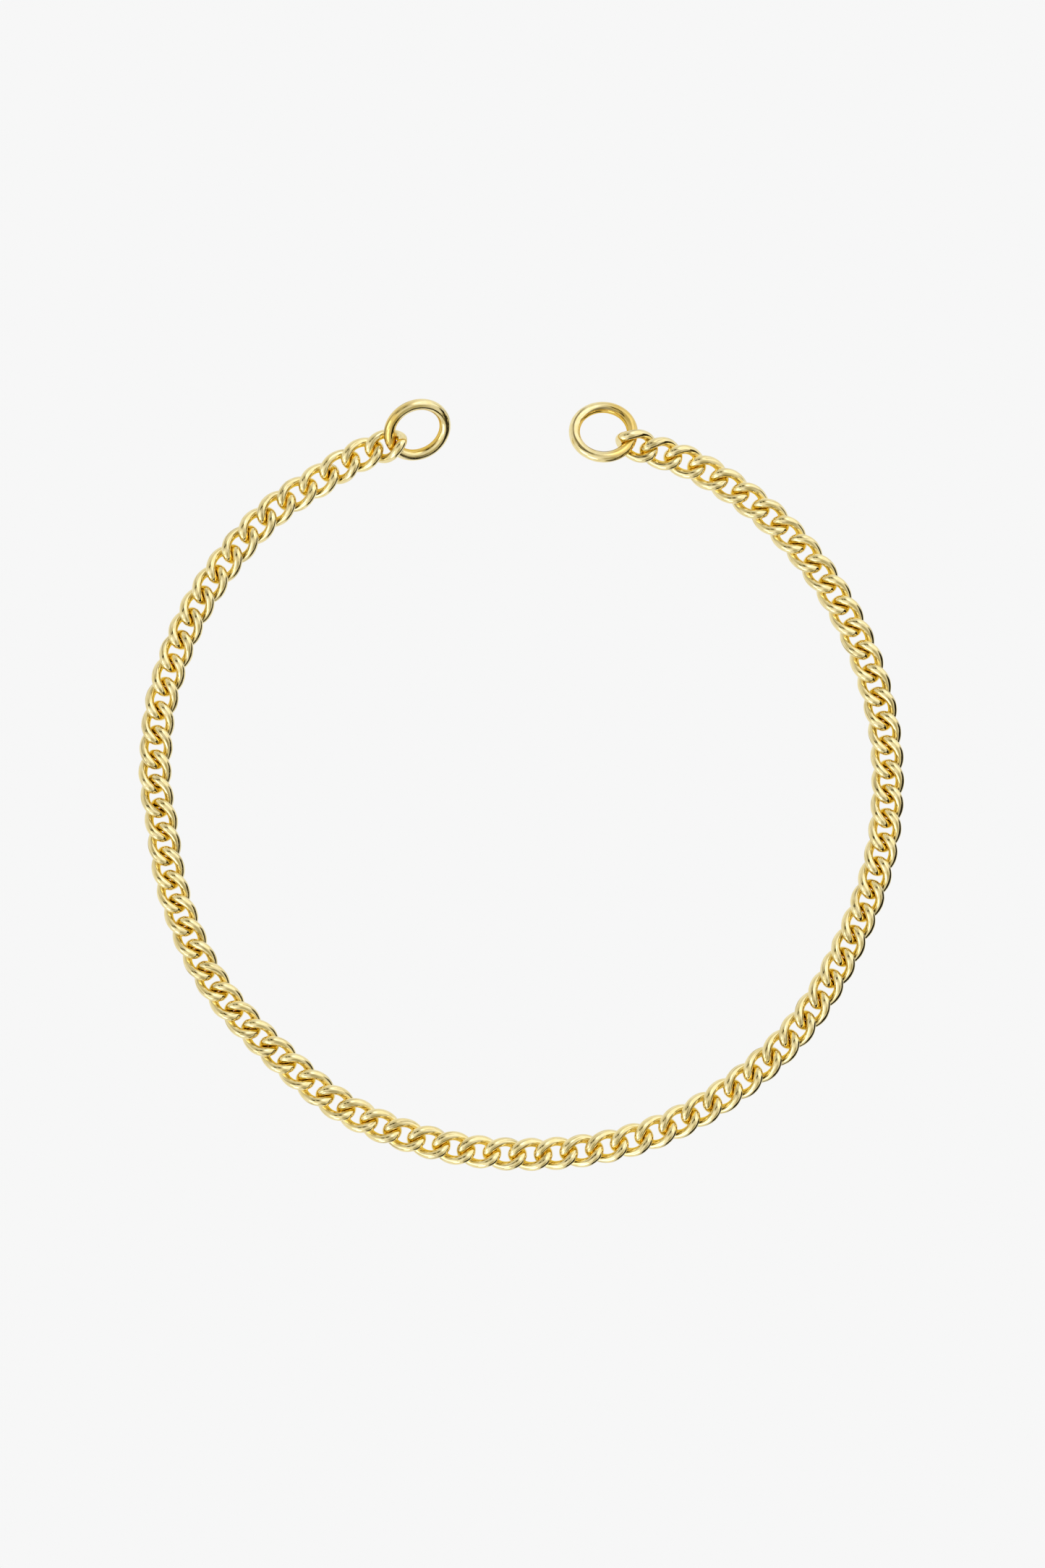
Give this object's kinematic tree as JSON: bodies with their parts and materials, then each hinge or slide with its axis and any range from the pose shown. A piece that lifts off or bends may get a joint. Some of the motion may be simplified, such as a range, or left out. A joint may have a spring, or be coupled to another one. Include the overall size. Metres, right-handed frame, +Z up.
{
  "type": "chain necklace",
  "caption": "Short collar of twisted oval curb links in round wire, with a plain round ring at each end to take a clasp, a charm or a ribbon.",
  "frame": {"origin": "on the table under the middle of the necklace's bounding box", "axes": "+Z is up from the table that the chain lies on, +Y points from the front of the collar to its two end rings, +X points to the right-hand ring's side"},
  "size_m": [0.1404, 0.1412, 0.0087],
  "materials": {
    "plated_links": "polished pale yellow gold plating on brass wire",
    "plated_rings": "polished pale yellow gold plating on brass wire, smoother than the links"
  },
  "bodies": {
    "link_01": {"link_01": "plated_links"},
    "links_02_03": {"links_02_03": "plated_links"},
    "link_04": {"link_04": "plated_links"},
    "links_05_06": {"links_05_06": "plated_links"},
    "link_07": {"link_07": "plated_links"},
    "links_08_09": {"links_08_09": "plated_links"},
    "link_10": {"link_10": "plated_links"},
    "link_11": {"link_11": "plated_links"},
    "links_12_13": {"links_12_13": "plated_links"},
    "link_14": {"link_14": "plated_links"},
    "links_15_16": {"links_15_16": "plated_links"},
    "link_17": {"link_17": "plated_links"},
    "links_18_19": {"links_18_19": "plated_links"},
    "link_20": {"link_20": "plated_links"},
    "link_21": {"link_21": "plated_links"},
    "links_22_23": {"links_22_23": "plated_links"},
    "link_24": {"link_24": "plated_links"},
    "links_25_26": {"links_25_26": "plated_links"},
    "link_27": {"link_27": "plated_links"},
    "links_28_29": {"links_28_29": "plated_links"},
    "link_30": {"link_30": "plated_links"},
    "link_31": {"link_31": "plated_links"},
    "links_32_33": {"links_32_33": "plated_links"},
    "link_34": {"link_34": "plated_links"},
    "links_35_36": {"links_35_36": "plated_links"},
    "link_37": {"link_37": "plated_links"},
    "links_38_39": {"links_38_39": "plated_links"},
    "link_40": {"link_40": "plated_links"},
    "link_41": {"link_41": "plated_links"},
    "links_42_43": {"links_42_43": "plated_links"},
    "link_44": {"link_44": "plated_links"},
    "links_45_46": {"links_45_46": "plated_links"},
    "link_47": {"link_47": "plated_links"},
    "links_48_49": {"links_48_49": "plated_links"},
    "link_50": {"link_50": "plated_links"},
    "link_51": {"link_51": "plated_links"},
    "links_52_53": {"links_52_53": "plated_links"},
    "link_54": {"link_54": "plated_links"},
    "links_55_56": {"links_55_56": "plated_links"},
    "link_57": {"link_57": "plated_links"},
    "links_58_59": {"links_58_59": "plated_links"},
    "link_60": {"link_60": "plated_links"},
    "link_61": {"link_61": "plated_links"},
    "links_62_63": {"links_62_63": "plated_links"},
    "link_64": {"link_64": "plated_links"},
    "links_65_66": {"links_65_66": "plated_links"},
    "link_67": {"link_67": "plated_links"},
    "links_68_69": {"links_68_69": "plated_links"},
    "link_70": {"link_70": "plated_links"},
    "link_71": {"link_71": "plated_links"},
    "links_72_73": {"links_72_73": "plated_links"},
    "link_74": {"link_74": "plated_links"},
    "links_75_76": {"links_75_76": "plated_links"},
    "link_77": {"link_77": "plated_links"},
    "links_78_79": {"links_78_79": "plated_links"},
    "link_80": {"link_80": "plated_links"},
    "links_81_82": {"links_81_82": "plated_links"},
    "link_83": {"link_83": "plated_links"},
    "ring_left": {"ring_left": "plated_rings"},
    "ring_right": {"ring_right": "plated_rings"}
  },
  "joints": [
    {"name": "bend_43_44", "type": "hinge", "parent": "links_42_43", "child": "link_44", "pos_m": [0.00868, -0.06717, 0.00175], "axis": [-0.0017, 0.0182, 0.9998], "range_deg": [-24, 6]},
    {"name": "lift_44_45", "type": "hinge", "parent": "link_44", "child": "links_45_46", "pos_m": [0.01335, -0.06654, 0.00175], "axis": [-0.169, 0.9856, 0.0046], "range_deg": [-16, 16]},
    {"name": "bend_46_47", "type": "hinge", "parent": "links_45_46", "child": "link_47", "pos_m": [0.02245, -0.06425, 0.00175], "axis": [0.0036, -0.0083, -1], "range_deg": [-8, 24]},
    {"name": "lift_47_48", "type": "hinge", "parent": "link_47", "child": "links_48_49", "pos_m": [0.02681, -0.06256, 0.00175], "axis": [0.4049, -0.9143, 0.0148], "range_deg": [-16, 16]},
    {"name": "bend_49_50", "type": "hinge", "parent": "links_48_49", "child": "link_50", "pos_m": [0.03501, -0.05817, 0.00175], "axis": [0.0054, -0.0101, 0.9999], "range_deg": [-24, 10]},
    {"name": "lift_50_51", "type": "hinge", "parent": "link_50", "child": "link_51", "pos_m": [0.03882, -0.05556, 0.00175], "axis": [-0.598, 0.8013, -0.0158], "range_deg": [-16, 16]},
    {"name": "bend_51_52", "type": "hinge", "parent": "link_51", "child": "links_52_53", "pos_m": [0.04245, -0.05271, 0.00175], "axis": [0.0044, -0.006, -1], "range_deg": [-16, 24]},
    {"name": "lift_53_54", "type": "hinge", "parent": "links_52_53", "child": "link_54", "pos_m": [0.04909, -0.04641, 0.00175], "axis": [0.7423, -0.6701, -0.0029], "range_deg": [-16, 16]},
    {"name": "bend_54_55", "type": "hinge", "parent": "link_54", "child": "links_55_56", "pos_m": [0.05199, -0.0429, 0.00175], "axis": [-0.0146, 0.0112, 0.9998], "range_deg": [-24, 16]},
    {"name": "lift_56_57", "type": "hinge", "parent": "links_55_56", "child": "link_57", "pos_m": [0.0569, -0.03531, 0.00175], "axis": [-0.8721, 0.4891, 0.0179], "range_deg": [-16, 16]},
    {"name": "bend_57_58", "type": "hinge", "parent": "link_57", "child": "links_58_59", "pos_m": [0.05899, -0.03132, 0.00175], "axis": [0.0062, -0.0022, -1], "range_deg": [-16, 24]},
    {"name": "lift_59_60", "type": "hinge", "parent": "links_58_59", "child": "link_60", "pos_m": [0.06262, -0.02312, 0.00175], "axis": [0.9283, -0.3716, -0.0107], "range_deg": [-16, 16]},
    {"name": "bend_60_61", "type": "hinge", "parent": "link_60", "child": "link_61", "pos_m": [0.06414, -0.01892, 0.00175], "axis": [0.0126, -0.0048, 0.9999], "range_deg": [-24, 16]},
    {"name": "lift_61_62", "type": "hinge", "parent": "link_61", "child": "links_62_63", "pos_m": [0.0654, -0.01464, 0.00175], "axis": [-0.969, 0.2466, -0.0142], "range_deg": [-16, 16]},
    {"name": "bend_63_64", "type": "hinge", "parent": "links_62_63", "child": "link_64", "pos_m": [0.0669, -0.00586, 0.00175], "axis": [-0.0167, 0.0012, -0.9999], "range_deg": [-16, 24]},
    {"name": "lift_64_65", "type": "hinge", "parent": "link_64", "child": "links_65_66", "pos_m": [0.06718, -0.00141, 0.00175], "axis": [0.9992, -0.0392, -0.0055], "range_deg": [-16, 16]},
    {"name": "bend_66_67", "type": "hinge", "parent": "links_65_66", "child": "link_67", "pos_m": [0.06692, 0.00753, 0.00175], "axis": [-0.0009, 0.0004, 1], "range_deg": [-24, 16]},
    {"name": "lift_67_68", "type": "hinge", "parent": "link_67", "child": "links_68_69", "pos_m": [0.06631, 0.01197, 0.00175], "axis": [-0.9856, -0.1679, 0.0184], "range_deg": [-16, 16]},
    {"name": "bend_69_70", "type": "hinge", "parent": "links_68_69", "child": "link_70", "pos_m": [0.06411, 0.02071, 0.00175], "axis": [0.0166, 0.0052, -0.9998], "range_deg": [-16, 24]},
    {"name": "lift_70_71", "type": "hinge", "parent": "link_70", "child": "link_71", "pos_m": [0.06256, 0.02497, 0.00175], "axis": [0.9285, 0.3713, -0.0083], "range_deg": [-16, 16]},
    {"name": "bend_71_72", "type": "hinge", "parent": "link_71", "child": "links_72_73", "pos_m": [0.06071, 0.02913, 0.00175], "axis": [0.0138, 0.0064, 0.9999], "range_deg": [-24, 16]},
    {"name": "lift_73_74", "type": "hinge", "parent": "links_72_73", "child": "link_74", "pos_m": [0.05617, 0.03708, 0.00175], "axis": [-0.8309, -0.5562, -0.0121], "range_deg": [-16, 16]},
    {"name": "bend_74_75", "type": "hinge", "parent": "link_74", "child": "links_75_76", "pos_m": [0.05349, 0.04083, 0.00175], "axis": [-0.012, -0.0096, -0.9999], "range_deg": [-16, 24]},
    {"name": "lift_76_77", "type": "hinge", "parent": "links_75_76", "child": "link_77", "pos_m": [0.04733, 0.04776, 0.00175], "axis": [0.6911, 0.7225, 0.0174], "range_deg": [-16, 16]},
    {"name": "bend_77_78", "type": "hinge", "parent": "link_77", "child": "links_78_79", "pos_m": [0.04386, 0.05086, 0.00175], "axis": [-0.0027, -0.0024, 1], "range_deg": [-24, 16]},
    {"name": "lift_79_80", "type": "hinge", "parent": "links_78_79", "child": "link_80", "pos_m": [0.03622, 0.05626, 0.00177], "axis": [-0.5104, -0.8597, -0.0214], "range_deg": [-16, 12]},
    {"name": "bend_80_81", "type": "hinge", "parent": "link_80", "child": "links_81_82", "pos_m": [0.03213, 0.05853, 0.00195], "axis": [-0.0268, 0.1289, -0.9913], "range_deg": [-8, 18]},
    {"name": "lift_82_83", "type": "hinge", "parent": "links_81_82", "child": "link_83", "pos_m": [0.02338, 0.06178, 0.00341], "axis": [0.3532, 0.8835, 0.3076], "range_deg": [-16, 16]},
    {"name": "bend_41_42", "type": "hinge", "parent": "links_42_43", "child": "link_41", "pos_m": [-0.00073, -0.06754, 0.00175], "axis": [-0.0004, -0.0182, 0.9998], "range_deg": [-6, 24]},
    {"name": "lift_40_41", "type": "hinge", "parent": "link_41", "child": "link_40", "pos_m": [-0.00544, -0.0673, 0.00175], "axis": [0.0821, 0.9966, -0.0048], "range_deg": [-16, 16]},
    {"name": "bend_39_40", "type": "hinge", "parent": "link_40", "child": "links_38_39", "pos_m": [-0.01011, -0.06674, 0.00175], "axis": [-0.0022, -0.0169, -0.9999], "range_deg": [-24, 6]},
    {"name": "lift_37_38", "type": "hinge", "parent": "links_38_39", "child": "link_37", "pos_m": [-0.01927, -0.06467, 0.00175], "axis": [-0.2831, -0.959, -0.0146], "range_deg": [-16, 16]},
    {"name": "bend_36_37", "type": "hinge", "parent": "link_37", "child": "links_35_36", "pos_m": [-0.0237, -0.06316, 0.00175], "axis": [0.0053, 0.0119, 0.9999], "range_deg": [-6, 24]},
    {"name": "lift_34_35", "type": "hinge", "parent": "links_35_36", "child": "link_34", "pos_m": [-0.03212, -0.05922, 0.00175], "axis": [0.4969, 0.8677, 0.0159], "range_deg": [-16, 16]},
    {"name": "bend_33_34", "type": "hinge", "parent": "link_34", "child": "links_32_33", "pos_m": [-0.03599, -0.05669, 0.00175], "axis": [0.0035, 0.0064, -1], "range_deg": [-24, 8]},
    {"name": "lift_31_32", "type": "hinge", "parent": "links_32_33", "child": "link_31", "pos_m": [-0.04304, -0.05079, 0.00175], "axis": [-0.6737, -0.739, 0.0026], "range_deg": [-16, 16]},
    {"name": "bend_30_31", "type": "hinge", "parent": "link_31", "child": "link_30", "pos_m": [-0.04638, -0.04766, 0.00175], "axis": [-0.0128, -0.0133, 0.9998], "range_deg": [-16, 24]},
    {"name": "lift_29_30", "type": "hinge", "parent": "link_30", "child": "links_28_29", "pos_m": [-0.04963, -0.04447, 0.00175], "axis": [0.7109, 0.7033, -0.0021], "range_deg": [-16, 16]},
    {"name": "bend_27_28", "type": "hinge", "parent": "links_28_29", "child": "link_27", "pos_m": [-0.0555, -0.0376, 0.00175], "axis": [0.0059, 0.0034, -1], "range_deg": [-24, 16]},
    {"name": "lift_26_27", "type": "hinge", "parent": "link_27", "child": "links_25_26", "pos_m": [-0.05793, -0.03382, 0.00175], "axis": [-0.8649, -0.5016, -0.0161], "range_deg": [-16, 16]},
    {"name": "bend_24_25", "type": "hinge", "parent": "links_25_26", "child": "link_24", "pos_m": [-0.06172, -0.0257, 0.00175], "axis": [0.0123, 0.0051, 0.9999], "range_deg": [-16, 24]},
    {"name": "lift_23_24", "type": "hinge", "parent": "link_24", "child": "links_22_23", "pos_m": [-0.06321, -0.02149, 0.00175], "axis": [0.9539, 0.2997, 0.0143], "range_deg": [-16, 12]},
    {"name": "bend_21_22", "type": "hinge", "parent": "links_22_23", "child": "link_21", "pos_m": [-0.06521, -0.01281, 0.00175], "axis": [-0.0166, -0.0024, -0.9999], "range_deg": [-24, 16]},
    {"name": "lift_20_21", "type": "hinge", "parent": "link_21", "child": "link_20", "pos_m": [-0.06584, -0.00839, 0.00175], "axis": [-0.9898, -0.142, 0.0053], "range_deg": [-16, 12]},
    {"name": "bend_19_20", "type": "hinge", "parent": "link_20", "child": "links_18_19", "pos_m": [-0.06653, -0.00398, 0.00175], "axis": [-0.0179, -0.0029, 0.9998], "range_deg": [-16, 24]},
    {"name": "lift_17_18", "type": "hinge", "parent": "links_18_19", "child": "link_17", "pos_m": [-0.06716, 0.00491, 0.00175], "axis": [0.9991, -0.0389, -0.0183], "range_deg": [-16, 16]},
    {"name": "bend_16_17", "type": "hinge", "parent": "link_17", "child": "links_15_16", "pos_m": [-0.06689, 0.0094, 0.00175], "axis": [0.004, -0.0008, -1], "range_deg": [-24, 16]},
    {"name": "lift_14_15", "type": "hinge", "parent": "links_15_16", "child": "link_14", "pos_m": [-0.06536, 0.01826, 0.00175], "axis": [-0.9644, 0.2642, 0.0086], "range_deg": [-16, 16]},
    {"name": "bend_13_14", "type": "hinge", "parent": "link_14", "child": "links_12_13", "pos_m": [-0.06403, 0.0226, 0.00175], "axis": [0.0145, -0.0043, 0.9999], "range_deg": [-16, 24]},
    {"name": "lift_11_12", "type": "hinge", "parent": "links_12_13", "child": "link_11", "pos_m": [-0.06052, 0.03102, 0.00175], "axis": [0.8948, -0.4462, 0.0119], "range_deg": [-16, 16]},
    {"name": "bend_10_11", "type": "hinge", "parent": "link_11", "child": "link_10", "pos_m": [-0.05831, 0.03503, 0.00175], "axis": [-0.013, 0.0085, -0.9999], "range_deg": [-24, 16]},
    {"name": "lift_09_10", "type": "hinge", "parent": "link_10", "child": "links_08_09", "pos_m": [-0.0558, 0.0389, 0.00175], "axis": [-0.8173, 0.5762, 0.0079], "range_deg": [-16, 16]},
    {"name": "bend_07_08", "type": "hinge", "parent": "links_08_09", "child": "link_07", "pos_m": [-0.04999, 0.04612, 0.00175], "axis": [-0.0031, 0.0016, 1], "range_deg": [-16, 24]},
    {"name": "lift_06_07", "type": "hinge", "parent": "link_07", "child": "links_05_06", "pos_m": [-0.04668, 0.0494, 0.00175], "axis": [0.6664, -0.7454, -0.0184], "range_deg": [-16, 16]},
    {"name": "bend_04_05", "type": "hinge", "parent": "links_05_06", "child": "link_04", "pos_m": [-0.03911, 0.0549, 0.00179], "axis": [0.0244, -0.0057, -0.9997], "range_deg": [-18, 16]},
    {"name": "lift_03_04", "type": "hinge", "parent": "link_04", "child": "links_02_03", "pos_m": [-0.03516, 0.05734, 0.00215], "axis": [-0.5145, 0.8573, 0.0161], "range_deg": [-6, 16]},
    {"name": "bend_01_02", "type": "hinge", "parent": "links_02_03", "child": "link_01", "pos_m": [-0.02692, 0.06153, 0.00357], "axis": [-0.1775, -0.0087, 0.9841], "range_deg": [-6, 18]},
    {"name": "ring_right_swing", "type": "hinge", "parent": "link_83", "child": "ring_right", "pos_m": [0.0198, 0.06302, 0.0042], "axis": [-0.2654, -0.895, 0.3585], "range_deg": [-72, 26]},
    {"name": "ring_left_swing", "type": "hinge", "parent": "link_01", "child": "ring_left", "pos_m": [-0.02338, 0.06275, 0.00436], "axis": [0.3997, -0.7134, -0.5756], "range_deg": [-36, 38]}
  ]
}
